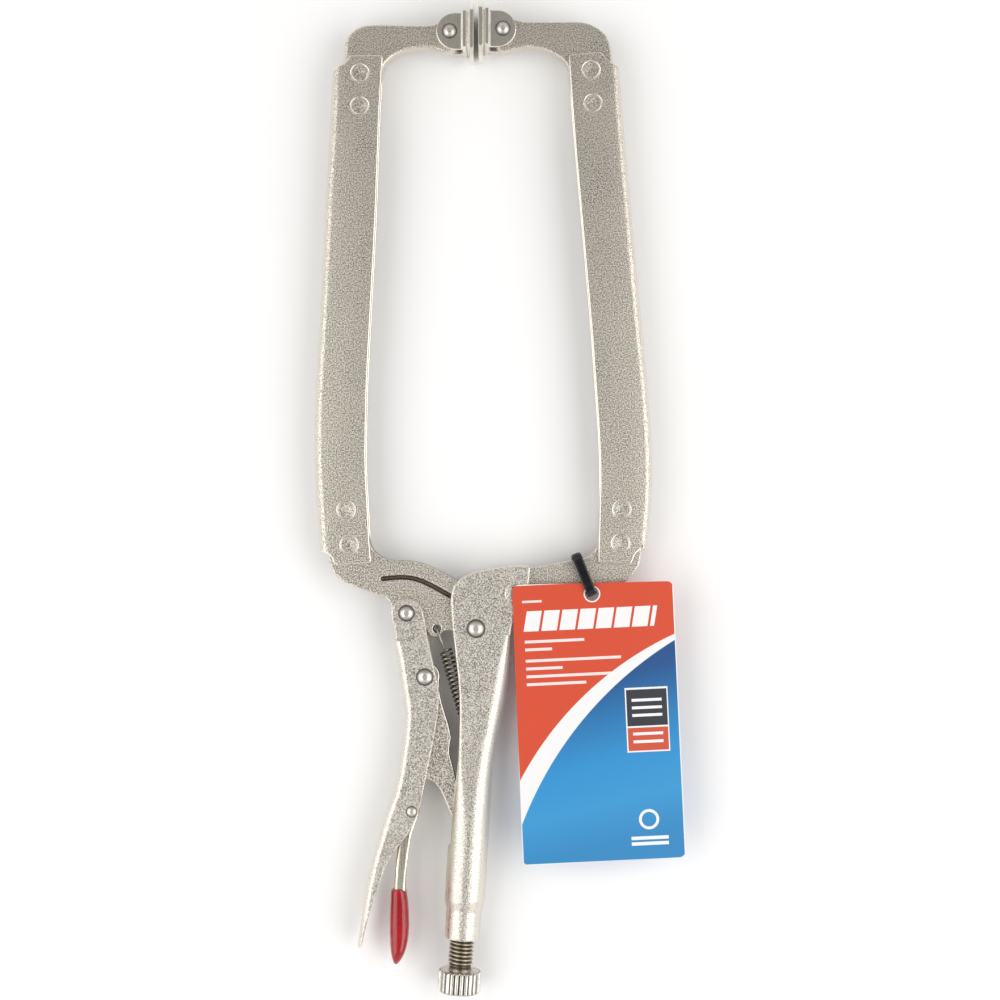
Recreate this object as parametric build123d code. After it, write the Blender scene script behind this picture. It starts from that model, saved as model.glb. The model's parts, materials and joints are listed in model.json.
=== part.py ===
"""18 inch locking C-clamp pliers with swivel pads, cable tie and hang tag.

Millimetres. The tool lies on its side: X across the jaws, Y towards the pads, +Z up.
Shapes are drawn about the tool's middle plane (z = 0) and place() moves them all into
the row's frame, whose origin is the bottom centre of the whole object.
"""
import os
from math import atan2, cos, degrees, radians, sin

from build123d import *

os.makedirs("parts", exist_ok=True)

# ---------------------------------------------------------------- driving sizes
ORIGIN = (0.118, -1.429, 11.0)   # moves the drawing's origin to the row's origin
BAR = 4.0                        # half thickness of the forged jaw bars
ARM_SHEET = 2.4                  # sheet of the two channel arms
ARM = BAR + ARM_SHEET            # half depth of an arm
CHEEK = 4.15                     # inner half width between handle or lever cheeks
HANDLE_SHEET = 3.0
HEAD = CHEEK + HANDLE_SHEET      # half depth of the fixed handle's head
LEVER_SHEET = 2.5
LEVER = CHEEK + LEVER_SHEET
LINK = 3.75                      # half thickness of the toggle link
RUN = 0.05                       # radial clearance of a pin that turns in its hole
GAP = 0.1                        # axial clearance under a rivet head

PIVOT = (-11.0, -58.8)           # movable jaw on the fixed handle
LEVER_PIN = (-42.8, -51.8)       # lever handle on the movable jaw
LINK_PIN = (-34.4, -81.0)        # toggle link on the lever handle
NOSE = (-14.4, -154.4)           # round nose of the link, on the screw's axis
RELEASE_PIN = (-40.4, -142.6)    # release lever on the lever handle
JAW_PIN = (6.9, -43.0)           # rivet through the fixed jaw and the handle's head
SPRING_HOLE = (-29.0, -59.0)
SPRING_END = (-11.0, -121.0)
FIXED_ARM_RIVETS = [(41.7, 196.8), (42.6, 181.6), (55.8, -4.3), (55.3, -19.7)]
MOVABLE_ARM_RIVETS = [(-64.2, 195.4), (-64.3, 180.3), (-70.5, -4.6), (-69.1, -20.6)]
FLUSH_R = 3.9                    # flush rivet heads
FORGED_R = 2.6                   # broad radius round the forged jaw tips
FOLD_R = 3.2                     # outside of the lever handle's fold
GROOVE = 2.4                     # depth of the groove stamped in the movable jaw

PAD_R = 14.0                     # swivel pad disc
PAD_FLAT = 11.0                  # half distance between the disc's two flats
PAD_T = 2.1
PAD_GAP = 2.05                   # closed gap between the pad faces
EAR_T = 2.0
FIXED_PAD = {"pin": (1.3, 215.9), "face": -9.9, "back": -4.9, "side": 1}
MOVABLE_PAD = {"pin": (-23.1, 214.7), "face": -9.9 - PAD_GAP, "back": -17.3, "side": -1}

SCREW_R = 5.75                   # 11.5 mm adjusting screw, 14 threads to the inch
SCREW_LEAN = degrees(atan2(5.0, 77.0))
SCREW_FREE = 9.0                 # link nose centre to screw tip
KNOB_START = 62.2                # link nose centre to the knob's inner end
KNOB_LENGTH = 10.0

TAG_HOLE = (42.0, -42.9)
TAG_Z = 7.6                      # underside of the hang tag
TAG_T = 0.6


# ---------------------------------------------------------------- small helpers
def place(shape):
    return Pos(*ORIGIN) * shape


def save(shape, node):
    export_step(place(shape), f"parts/{node}.step")


def outline(start, *steps):
    """Closed face. A step is a point (straight), a pair (via, end) of points (arc) or a
    list of three or more points (smooth curve)."""
    edges, at = [], start
    for step in steps:
        if isinstance(step, list):
            edges.append(Spline(at, *step))
            at = step[-1]
        elif isinstance(step[0], tuple):
            edges.append(ThreePointArc(at, step[0], step[1]))
            at = step[1]
        else:
            edges.append(Line(at, step))
            at = step
    if at != start:
        edges.append(Line(at, start))
    return make_face(edges)


def slab(face, low, high):
    return extrude(Pos(0, 0, low) * face, amount=high - low, dir=(0, 0, 1))


def pin(at, radius, low, high):
    return Pos(at[0], at[1], (low + high) / 2) * Cylinder(radius, high - low)


def flats(face, inner, outer):
    """The two cheeks of a channel: one sheet on each side of the middle plane."""
    return [slab(face, inner, outer), slab(face, -outer, -inner)]


def soften(solid, radius, picker):
    """Round the picked edges, with less radius where the full one can't be done."""
    edges = solid.edges().filter_by(picker)
    for share in (1.0, 0.7, 0.45):
        try:
            return fillet(edges, share * radius)
        except Exception:
            continue
    return solid


def dome(at, radius, height, low):
    """Domed rivet head with a small flat where the tool upset it."""
    ball = (radius**2 + height**2) / (2 * height)
    cap = Pos(at[0], at[1], low + height - ball) * Sphere(ball)
    cap &= Pos(at[0], at[1], low + height / 2) * Box(3 * radius, 3 * radius, height)
    return cap - pin(at, 0.22 * radius, low + height - 0.12, low + height + 1)


def rivet(at, shank, head, height, seat):
    """Domed on both ends, its heads resting on seats at +seat and -seat."""
    body = pin(at, shank, -seat, seat)
    body += dome(at, head, height, seat)
    return body + mirror(dome(at, head, height, seat), about=Plane.XY)


def flush_rivet(at, radius, half):
    """Rivet hammered level with the sheet, with a shallow dish in each end."""
    ball = 14.0
    body = pin(at, radius, -half, half)
    for side in (1, -1):
        body -= Pos(at[0], at[1], side * (half + ball - 0.35)) * Sphere(ball)
    return body


def along_screw(distance, across=0.0):
    """Point on the adjusting screw's axis, `distance` past the link's nose."""
    lean = radians(SCREW_LEAN)
    return (NOSE[0] - distance * sin(lean) + across * cos(lean),
            NOSE[1] - distance * cos(lean) - across * sin(lean))


def on_screw(solid, distance):
    """Put a solid drawn along +Z from z = 0 onto the screw's axis, running outwards."""
    x, y = along_screw(distance)
    return Pos(x, y, 0) * Rot(0, 0, -SCREW_LEAN) * Rot(90, 0, 0) * solid


def shaft(radius, length):
    return Pos(0, 0, length / 2) * Cylinder(radius, length)


def rod(a, b, radius):
    """Round wire from point a to point b, with a ball at its far end."""
    run = Vector(*b) - Vector(*a)
    wire = extrude(Plane(origin=a, z_dir=run) * Circle(radius), amount=run.length)
    return wire + Pos(*b) * Sphere(radius)


# ---------------------------------------------------------------- channel arms
def fixed_arm():
    face = outline(
        (31.5, 202.4), ((32.0, 203.6), (33.2, 204.2)), (46.1, 205.2), (51.2, 200.2), (54.9, 199.0),
        [(56.6, 173.9), (59.5, 141.8), (64.8, 82.4), (67.5, 54.9), (69.5, 27.5), (69.8, 9.2),
         (68.9, -9.2), (67.5, -23.3)],
        (64.8, -22.4), ((61.9, -25.0), (61.0, -27.4)), (59.8, -29.2), (44.9, -28.6),
        [(45.5, -9.2), (45.9, 9.2), (45.4, 27.5), (43.6, 54.9), (41.5, 82.4), (36.2, 141.8),
         (33.5, 173.9), (31.5, 202.4)])
    web = outline(
        (25.0, 215.0), (48.0, 215.0), (52.5, 199.0),
        [(54.2, 173.9), (57.1, 141.8), (62.4, 82.4), (65.1, 54.9), (67.1, 27.5), (67.4, 9.2),
         (66.5, -9.2), (65.1, -23.3)],
        (61.0, -32.0), (25.0, -40.0))
    return face, web


def movable_arm():
    face = outline(
        (-53.7, 202.3), ((-53.9, 203.3), (-55.0, 203.7)), (-68.6, 203.6), (-71.1, 200.1),
        (-76.9, 197.2),
        [(-77.8, 173.9), (-79.7, 141.8), (-82.7, 82.4), (-84.3, 54.9), (-85.0, 27.5),
         (-84.6, 9.2), (-83.5, -9.2), (-82.6, -23.8)],
        (-80.0, -24.2), ((-78.0, -25.4), (-76.4, -28.6)), (-74.7, -29.8), (-60.3, -28.8),
        ((-59.3, -28.4), (-59.0, -27.5)),
        [(-59.9, -16.9), (-60.5, -4.0), (-61.3, 9.2), (-61.5, 27.5), (-60.9, 54.9),
         (-59.5, 82.4), (-56.5, 141.8), (-55.4, 173.9), (-53.7, 202.3)])
    web = outline(
        (-45.0, 215.0), (-68.5, 215.0), (-74.5, 197.2),
        [(-75.4, 173.9), (-77.3, 141.8), (-80.3, 82.4), (-81.9, 54.9), (-82.6, 27.5),
         (-82.2, 9.2), (-81.1, -9.2), (-80.2, -23.8)],
        (-76.0, -32.0), (-45.0, -40.0))
    return face, web


def arm_channel(face, web, rivets, side, beyond):
    """Folded sheet: the fold runs down the outer edge, the inner edge stays open."""
    body = slab(face, -ARM, ARM)

    def outer(edge):
        c = edge.center()
        return (abs(abs(c.Z) - ARM) < 0.01 and edge.length > 150 and side * c.X > beyond)

    body = soften(body, 3.6, outer)
    body -= slab(web, -BAR, BAR)
    for at in rivets:
        body -= pin(at, FLUSH_R, -ARM - 1, ARM + 1)
    return body


# ---------------------------------------------------------------- forged jaw parts
def fixed_tip():
    x, y = FIXED_PAD["pin"]
    face = outline(
        (53.2, 171.1), (51.9, 192.7),
        [(51.4, 201.4), (50.9, 207.2), (49.1, 212.4), (44.5, 216.8), (38.1, 219.2)],
        [(26.0, 219.3), (14.6, 219.3), (7.6, 220.3), (2.3, 223.0), (-1.2, 223.8)],
        ((-3.5, 216.0), (-1.2, 208.2)),
        [(0.0, 206.4), (5.2, 206.6), (9.9, 207.8), (14.6, 208.0), (20.5, 206.9), (25.1, 204.8),
         (29.2, 201.9), (31.7, 197.3)],
        (33.6, 180.0), (34.6, 171.1))
    body = rounded_bar(face)
    return body - pin((x, y), 2.4 + RUN, -9, 9) - [pin(p, FLUSH_R, -9, 9) for p in FIXED_ARM_RIVETS[:2]]


def movable_tip():
    x, y = MOVABLE_PAD["pin"]
    face = outline(
        (-74.6, 171.1), (-73.8, 195.8),
        [(-72.5, 199.6), (-71.8, 202.4), (-71.3, 209.9), (-66.8, 216.2), (-61.5, 218.2)],
        [(-48.0, 218.5), (-35.3, 218.4), (-28.4, 219.4), (-23.1, 221.8), (-20.6, 222.5)],
        ((-18.3, 214.7), (-20.6, 207.0)),
        [(-24.3, 205.4), (-28.4, 206.2), (-33.5, 207.3), (-39.0, 207.0), (-44.6, 205.5),
         (-50.0, 202.5), (-53.6, 197.8)],
        (-55.9, 186.0), (-56.3, 171.1))
    body = rounded_bar(face)
    return body - pin((x, y), 2.4 + RUN, -9, 9) - [pin(p, FLUSH_R, -9, 9) for p in MOVABLE_ARM_RIVETS[:2]]


def rounded_bar(face):
    """Forged bar: both of its outlines are broken by a broad radius."""
    body = slab(face, -BAR, BAR)
    return soften(body, FORGED_R, lambda e: abs(abs(e.center().Z) - BAR) < 0.01 and e.length > 12)


def movable_base():
    face = outline(
        (-81.4, 6.0), (-62.4, 6.0),
        [(-61.5, -3.7), (-60.6, -14.0), (-59.6, -20.0)],
        [(-57.0, -24.2), (-52.8, -26.9), (-47.5, -27.8), (-41.3, -28.0), (-34.9, -29.5),
         (-28.5, -32.4), (-20.4, -36.7), (-10.0, -44.5), (-3.6, -51.8)],
        ((-1.4, -58.8), (-4.5, -65.8)),
        ((-11.0, -68.4), (-17.5, -65.0)),
        [(-20.5, -61.0), (-22.8, -59.9), (-27.6, -62.2)],
        ((-30.8, -62.8), (-33.4, -60.0)),
        ((-35.6, -60.3), (-42.8, -58.8)),
        ((-49.2, -54.9), (-50.2, -50.2)),
        [(-50.7, -46.8), (-54.9, -44.0), (-64.4, -40.8), (-70.7, -38.0), (-74.9, -35.1),
         (-77.8, -30.3), (-78.9, -24.0)],
        [(-79.6, -15.0), (-80.6, -4.0), (-81.4, 6.0)])
    body = slab(face, -BAR, BAR)
    groove = outline(
        (-54.2, -37.2), ((-54.9, -36.1), (-53.6, -35.2)),
        [(-47.0, -34.6), (-41.3, -34.8), (-35.9, -36.2), (-29.6, -39.1), (-20.0, -44.6)],
        (-20.9, -46.1),
        [(-30.3, -41.0), (-36.4, -38.1), (-41.4, -36.7), (-47.2, -36.5), (-54.2, -37.2)])
    for low, high in ((BAR - GROOVE, BAR + 1), (-BAR - 1, GROOVE - BAR)):
        body -= slab(groove, low, high)
    body -= pin(PIVOT, 3.2 + RUN, -9, 9)
    body -= pin(LEVER_PIN, 2.8, -9, 9)
    body -= pin(SPRING_HOLE, 1.75, -9, 9)
    return body - [pin(p, FLUSH_R, -9, 9) for p in MOVABLE_ARM_RIVETS[2:]]


def fixed_base():
    face = outline(
        (-6.0, -34.0), [(2.0, -31.8), (11.9, -31.0), (18.4, -30.6), (33.0, -27.8), (39.5, -26.6),
                        (42.4, -24.4), (44.9, -20.8)],
        [(45.6, -9.2), (46.0, 0.0), (46.2, 6.0)], (66.5, 6.0),
        [(66.2, -6.0), (65.4, -18.0), (64.9, -24.5), (64.2, -28.8), (62.1, -32.9), (58.9, -36.7),
         (53.7, -39.3), (45.9, -40.6), (34.4, -41.0), (20.0, -42.2), (9.0, -44.6), (-2.0, -46.2)],
        ((-4.8, -45.2), (-6.0, -43.0)))
    body = slab(face, -BAR, BAR)
    body -= pin(JAW_PIN, FLUSH_R, -9, 9)
    return body - [pin(p, FLUSH_R, -9, 9) for p in FIXED_ARM_RIVETS[2:]]


# ---------------------------------------------------------------- fixed handle
# y, left, right, half depth, corner radius on the open side, corner radius on the back
HANDLE_ROWS = [
    (-62.0, -21.5, 4.9, HEAD, 0.6, 2.4), (-72.0, -20.4, 4.6, HEAD, 0.6, 4.8),
    (-84.0, -19.1, 3.6, HEAD, 0.7, 6.4), (-96.0, -18.6, 1.7, HEAD + 0.05, 0.8, 7.0),
    (-110.0, -18.9, -1.1, HEAD + 0.2, 1.2, 7.2), (-124.0, -19.8, -3.2, HEAD + 0.7, 2.6, 7.7),
    (-138.0, -21.8, -4.2, HEAD + 1.6, 6.2, 8.6), (-152.0, -23.5, -5.0, 9.25, 8.8, 9.0),
    (-184.0, -25.6, -6.9, 9.35, 9.2, 9.2)]


def between(rows, steps):
    """Rows of numbers with `steps` - 1 more between each two, on a smooth curve through them."""
    ends = [rows[0], *rows, rows[-1]]
    filled = []
    for before, a, b, after in zip(ends, ends[1:], ends[2:], ends[3:]):
        for k in range(steps):
            t = k / steps
            filled.append(tuple(
                0.5 * (2 * q + (r - p) * t + (2 * p - 5 * q + 4 * r - s) * t**2
                       + (3 * q - p - 3 * r + s) * t**3)
                for p, q, r, s in zip(before, a, b, after)))
    return filled + [rows[-1]]


def cross_section(y, left, right, half, left_r, right_r):
    """Section square to Y, with one corner radius on its left and another on its right."""
    wide, k = (right - left) / 2, 1 - 0.5 ** 0.5
    face = outline(
        (-wide + left_r, -half), (wide - right_r, -half),
        ((wide - k * right_r, -half + k * right_r), (wide, -half + right_r)), (wide, half - right_r),
        ((wide - k * right_r, half - k * right_r), (wide - right_r, half)), (-wide + left_r, half),
        ((-wide + k * left_r, half - k * left_r), (-wide, half - left_r)), (-wide, -half + left_r),
        ((-wide + k * left_r, -half + k * left_r), (-wide + left_r, -half)))
    return Plane(origin=((left + right) / 2, y, 0), x_dir=(1, 0, 0), z_dir=(0, -1, 0)) * face


def fixed_handle():
    head = outline(
        (-21.5, -62.0), (-22.6, -46.5),
        [(-22.4, -43.5), (-21.3, -39.8), (-18.1, -36.1), (-13.5, -33.9), (-6.0, -32.0),
         (2.0, -30.6), (14.0, -30.4)],
        (13.2, -38.4), [(11.6, -43.0), (9.2, -48.0), (6.4, -54.5), (4.9, -62.0)])
    body = slab(head, -HEAD, HEAD)
    # the channel's back grows rounder until the whole section is a tube
    body += loft([cross_section(*row) for row in between(HANDLE_ROWS, 3)], ruled=True)
    body += on_screw(shaft(7.9, 15.0), 22.0)
    body += on_screw(Pos(0, 0, 2.4) * Cone(9.3, 8.1, 4.8), 29.6)
    body += on_screw(shaft(8.15, 12.7), 35.0)
    # inside: a slot open towards the lever, the tube's bore, and a plain bore for the screw
    slot = outline(
        (-40.0, -20.0), (25.0, -20.0), (25.0, -46.4),
        [(7.0, -48.6), (3.3, -55.0), (1.9, -62.0), (1.2, -79.0), (-1.1, -95.0), (-4.1, -110.0),
         (-6.5, -126.0)],
        (-10.0, -136.0), (-10.0, -159.0), (-40.0, -159.0))
    body -= slab(slot, -CHEEK, CHEEK)
    body -= on_screw(shaft(6.6, 56.0), -24.0)
    body -= on_screw(shaft(SCREW_R + RUN, 40.0), 20.0)
    for at, radius in ((PIVOT, 3.2), (JAW_PIN, FLUSH_R)):
        body -= pin(at, radius, -20, 20)
    tab = outline((-3.0, -117.0), (-9.6, -118.2), ((-13.4, -121.2), (-10.2, -124.2)), (-4.2, -124.2))
    return body + (slab(tab, -1.0, 1.0) - pin(SPRING_END, 1.0, -3, 3))


# ---------------------------------------------------------------- lever side
LEVER_LEFT = [(-48.4, -66.5), (-46.9, -73.2), (-45.5, -82.3), (-44.0, -92.0), (-43.4, -99.0),
              (-44.2, -108.0), (-45.6, -119.0), (-48.2, -132.6), (-52.1, -144.0),
              (-57.4, -161.4), (-60.9, -175.4), (-63.6, -192.0), (-65.3, -204.0)]
LEVER_RIGHT = [(-60.0, -190.2), (-55.4, -176.5), (-52.1, -167.5), (-48.7, -161.4),
               (-44.4, -156.0), (-39.6, -148.4), (-37.4, -143.0), (-35.2, -134.0),
               (-32.9, -122.1), (-30.3, -109.3), (-28.4, -97.0), (-27.9, -90.0),
               (-28.9, -82.4), (-31.5, -70.8), (-33.8, -59.0)]


def lever_outline():
    return outline(
        (-47.6, -60.8), (-47.8, -63.6), (-48.9, -64.4), LEVER_LEFT,
        ((-64.9, -204.9), (-63.6, -204.7)), LEVER_RIGHT,
        [(-34.7, -54.0), (-36.0, -49.5), (-38.9, -46.2), (-42.8, -45.0), (-46.9, -46.4),
         (-49.5, -50.5), (-49.3, -55.6), (-47.6, -60.8)])


def lever_handle():
    body = slab(lever_outline(), -LEVER, LEVER)
    # the fold runs out round: everything outside a rounded envelope is cut away
    rows = [(-60.0, -49.4), *((y, x) for x, y in LEVER_LEFT), (-212.0, -66.3)]
    envelope = loft([cross_section(y, x + 0.02, 20.0, LEVER, FOLD_R, 0.5)
                     for y, x in between(rows, 2)], ruled=True)
    long_part = Pos(0, -64.5 - 75, 0) * Box(200, 150, 40)
    body = (body - long_part) + (body & envelope & long_part)
    inside = outline(
        (-60.0, -40.0), (-60.0, -64.9), (-46.4, -64.9),
        [(-44.5, -73.2), (-43.0, -82.3), (-41.5, -92.0), (-40.9, -99.0), (-41.7, -108.0),
         (-43.1, -119.0), (-45.7, -132.6), (-49.6, -144.0), (-54.9, -161.4), (-58.4, -175.4),
         (-61.1, -192.0), (-62.9, -206.0)],
        (-20.0, -206.0), (-20.0, -40.0))
    body -= slab(inside, -CHEEK, CHEEK)
    body -= pin(LEVER_PIN, 2.8 + RUN, -20, 20)
    body -= pin(LINK_PIN, 2.8, -20, 20)
    return body - pin(RELEASE_PIN, 1.8, -20, 20)


def toggle_link():
    x, y = LINK_PIN
    face = outline(
        (x - 5.6, y - 3.4), ((x + 1.0, y + 6.5), (x + 6.4, y - 1.6)),
        [(-27.7, -89.0), (-25.4, -98.0), (-23.2, -105.5), (-22.5, -109.0)],
        [(-23.0, -112.0), (-23.3, -116.0), (-22.4, -120.0), (-21.0, -125.4), (-17.0, -139.0),
         (-11.4, -151.8)],
        (along_screw(4.0), (NOSE[0] - 3.7, NOSE[1] + 1.5)),
        [(-21.5, -146.0), (-23.1, -142.9), (-26.1, -135.8), (-29.6, -130.3), (-34.4, -127.9)],
        ((-36.6, -126.6), (-36.4, -123.5)),
        [(-36.6, -115.0), (-38.4, -100.0), (x - 5.6, y - 3.4)])
    body = slab(face, -LINK, LINK)
    return body - pin(LINK_PIN, 2.8 + RUN, -20, 20)


def release_lever():
    """Small lever between the cheeks: its nose stands off the link until it is squeezed."""
    face = outline(
        (-43.2, -141.2), [(-42.0, -137.4), (-40.6, -133.6), (-39.6, -131.8)],
        ((-38.0, -131.2), (-37.2, -132.6)), [(-36.9, -136.5), (-36.8, -140.0), (-36.9, -143.6)],
        [(-38.6, -148.6), (-40.4, -154.0), (-41.4, -160.0), (-42.5, -168.0), (-43.3, -178.6)],
        [(-43.1, -186.0), (-43.0, -196.0), (-43.7, -204.0)],
        ((-46.0, -206.6), (-48.6, -204.0)),
        [(-49.0, -194.0), (-49.0, -186.0), (-48.7, -179.3)],
        [(-48.3, -171.5), (-47.5, -163.0), (-46.0, -153.0), (-44.4, -146.0), (-43.2, -141.2)])
    body = slab(face, -3.6, 3.6)
    inside = outline((-30.0, -145.2), (-41.9, -145.2),
                     [(-43.6, -153.0), (-45.2, -163.0), (-46.2, -174.0)], (-30.0, -174.0))
    body -= slab(inside, -2.2, 2.2)
    return body - pin(RELEASE_PIN, 1.8 + RUN, -20, 20)


def release_sleeve():
    face = outline(
        (-50.2, -179.6), ((-46.6, -178.6), (-43.1, -179.6)),
        [(-42.3, -185.0), (-41.9, -191.0), (-41.9, -198.2), (-42.8, -205.0), (-44.6, -210.2),
         (-46.9, -213.4)],
        ((-48.0, -214.0), (-49.0, -213.2)),
        [(-50.1, -209.5), (-50.7, -203.0), (-50.8, -195.0), (-50.6, -188.0), (-50.2, -179.6)])
    body = slab(face, -4.9, 4.9)
    body = soften(body, 1.6, lambda e: abs(abs(e.center().Z) - 4.9) < 0.01)
    return body - release_lever()


# ---------------------------------------------------------------- swivel pads
def pad_bracket(pad):
    """Bent from one strip: a square base behind the pad and an ear on each side."""
    (x, y), side, back = pad["pin"], pad["side"], pad["back"]
    base_t = 2.1
    far = back - side * base_t
    low = BAR + 0.3
    ear = outline(
        (far, y - 8.3), (x - side * 1.6, y - 8.3),
        ((x + side * 6.1, y), (x - side * 1.6, y + 8.3)), (far, y + 8.3))
    body = Pos((back + far) / 2, y, 0) * Box(base_t, 16.6, 2 * (low + EAR_T))
    for piece in flats(ear, low, low + EAR_T):
        body += piece
    plate = Pos((back + far) / 2, y, 0) * Box(base_t, 16.6, 2 * PAD_FLAT)
    body += plate
    return body - pin((x, y), 2.4, -20, 20)


def pad_face(pad):
    """Disc with two flats and a square boss that stands it off the bracket."""
    (_, y), side, front = pad["pin"], pad["side"], pad["face"]
    hub_end = pad["back"] - side * 2.1
    turn = Rot(0, 90, 0)
    disc = Pos(front + side * PAD_T / 2, y, 0) * turn * Cylinder(PAD_R, PAD_T)
    disc &= Pos(front + side * PAD_T / 2, y, 0) * Box(9, 60, 2 * PAD_FLAT)
    start = front + side * PAD_T
    boss = Pos((start + hub_end) / 2, y, 0) * Box(abs(hub_end - start), 15.6, 2 * PAD_FLAT - 1.6)
    return disc + boss


# ---------------------------------------------------------------- adjusting screw
def screw_tip():
    return on_screw(shaft(4.6, 5.0) - Pos(0, 0, -1) * shaft(1.2, 2.5), SCREW_FREE)


def screw_rod():
    length = KNOB_START - SCREW_FREE - 5.0
    return on_screw(shaft(SCREW_R, length), SCREW_FREE + 5.0)


def screw_knob(flutes=26):
    """Knurled head: straight flutes round it and a shallow dish in its end."""
    body = shaft(9.85, KNOB_LENGTH)
    body = chamfer(body.edges().filter_by(GeomType.CIRCLE), 0.7)
    cutter = shaft(0.55, 14.0)
    for n in range(flutes):
        body -= Rot(0, 0, 360 * n / flutes) * Pos(10.0, 0, -1) * cutter
    body -= Pos(0, 0, KNOB_LENGTH - 0.6) * shaft(5.0, 2.0)
    return on_screw(body, KNOB_START)


# ---------------------------------------------------------------- spring, tie, tag
def tension_spring():
    """Stand-in for the coil spring: its envelope, with the two end hooks."""
    sx, sy = SPRING_HOLE
    top, bottom = (-25.2, -69.0), (-12.4, -115.6)
    lean = degrees(atan2(bottom[0] - top[0], top[1] - bottom[1]))
    length = ((bottom[0] - top[0]) ** 2 + (bottom[1] - top[1]) ** 2) ** 0.5
    coil = shaft(3.2, length) - Pos(0, 0, -1) * shaft(2.2, length + 2)
    body = Pos(top[0], top[1], 0) * Rot(0, 0, lean) * Rot(90, 0, 0) * coil
    hooks = (((top[0] + 0.6, top[1] - 2.2), (sx, sy), BAR + 0.8),
             ((bottom[0] - 0.6, bottom[1] + 2.2), SPRING_END, 1.8))
    for coil_end, hole, rise in hooks:
        points = [(*coil_end, 0), (*coil_end, rise), (*hole, rise), (*hole, -0.5)]
        for a, b in zip(points, points[1:]):
            body += rod(a, b, 0.5)
    return body


def tag_tie():
    """Nylon cable tie, closed round the fixed jaw and through the tag's hole."""
    dx, dy = 35.1 - TAG_HOLE[0], -26.0 - TAG_HOLE[1]
    size = (dx * dx + dy * dy) ** 0.5
    plane = Plane(origin=(TAG_HOLE[0], TAG_HOLE[1], 0), x_dir=(dx / size, dy / size, 0),
                  z_dir=(dy / size, -dx / size, 0))
    top, low, thick = 10.2, -6.1, 1.3
    reach = size + 0.4
    ring = Pos(reach / 2, (top + low) / 2, 0) * (
        RectangleRounded(reach + thick, top - low, 3.0)
        - RectangleRounded(reach - thick, top - low - 2 * thick, 1.7))
    band = plane * ring
    body = extrude(band, amount=2.25, both=True)
    head = Box(6.6, 4.4, 7.4)
    return body + plane * (Pos(reach / 2, low + thick - 2.1, 0) * head)


def hang_tag():
    """Card tag: rounded corners, one punched hole near its top edge."""
    corners = [(5.5, -38.8), (79.0, -37.0), (84.9, -163.0), (10.5, -167.1)]
    face = make_face(Polyline(*corners, close=True))
    body = slab(face, TAG_Z, TAG_Z + TAG_T)
    body = fillet(body.edges().filter_by(Axis.Z), 3.0)
    return body - pin(TAG_HOLE, 3.2, 0, 20)


# ---------------------------------------------------------------- build every node
fixed_face, fixed_web = fixed_arm()
movable_face, movable_web = movable_arm()

nodes = {
    "fixed_handle": fixed_handle(),
    "fixed_jaw_base": fixed_base(),
    "fixed_arm_channel": arm_channel(fixed_face, fixed_web, FIXED_ARM_RIVETS, 1, 52),
    "fixed_jaw_tip": fixed_tip(),
    "fixed_arm_rivets": Compound([flush_rivet(p, FLUSH_R, ARM) for p in FIXED_ARM_RIVETS]),
    "fixed_jaw_rivet": flush_rivet(JAW_PIN, FLUSH_R, HEAD),
    "jaw_pivot_rivet": rivet(PIVOT, 3.2, 4.4, 2.0, HEAD),
    "movable_jaw_base": movable_base(),
    "movable_arm_channel": arm_channel(movable_face, movable_web, MOVABLE_ARM_RIVETS, -1, 72),
    "movable_jaw_tip": movable_tip(),
    "movable_arm_rivets": Compound([flush_rivet(p, FLUSH_R, ARM) for p in MOVABLE_ARM_RIVETS]),
    "handle_pivot_rivet": rivet(LEVER_PIN, 2.8, 3.9, 1.8, LEVER + GAP),
    "lever_handle": lever_handle(),
    "link_rivet": rivet(LINK_PIN, 2.8, 4.1, 1.8, LEVER),
    "release_lever_rivet": rivet(RELEASE_PIN, 1.8, 2.7, 1.1, LEVER),
    "toggle_link": toggle_link(),
    "release_lever": release_lever(),
    "release_lever_sleeve": release_sleeve(),
    "fixed_pad_bracket": pad_bracket(FIXED_PAD),
    "fixed_pad_face": pad_face(FIXED_PAD),
    "fixed_pad_rivet": rivet(FIXED_PAD["pin"], 2.4, 3.6, 1.6, BAR + 0.3 + EAR_T),
    "movable_pad_bracket": pad_bracket(MOVABLE_PAD),
    "movable_pad_face": pad_face(MOVABLE_PAD),
    "movable_pad_rivet": rivet(MOVABLE_PAD["pin"], 2.4, 3.6, 1.6, BAR + 0.3 + EAR_T),
    "screw_tip": screw_tip(),
    "adjusting_screw": screw_rod(),
    "screw_knob": screw_knob(),
    "tension_spring": tension_spring(),
    "tag_tie": tag_tie(),
    "hang_tag": hang_tag(),
}

for node, shape in nodes.items():
    save(shape, node)
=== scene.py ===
"""Looks of the 18 inch locking C-clamp pliers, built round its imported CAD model.

Metres, in the model's own frame: the tool lies on its side, jaws towards +Y, +Z up.
"""

import json
from math import atan2, cos, hypot, pi, radians, sin, sqrt

import bmesh
import bpy
from mathutils import Matrix, Vector


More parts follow.
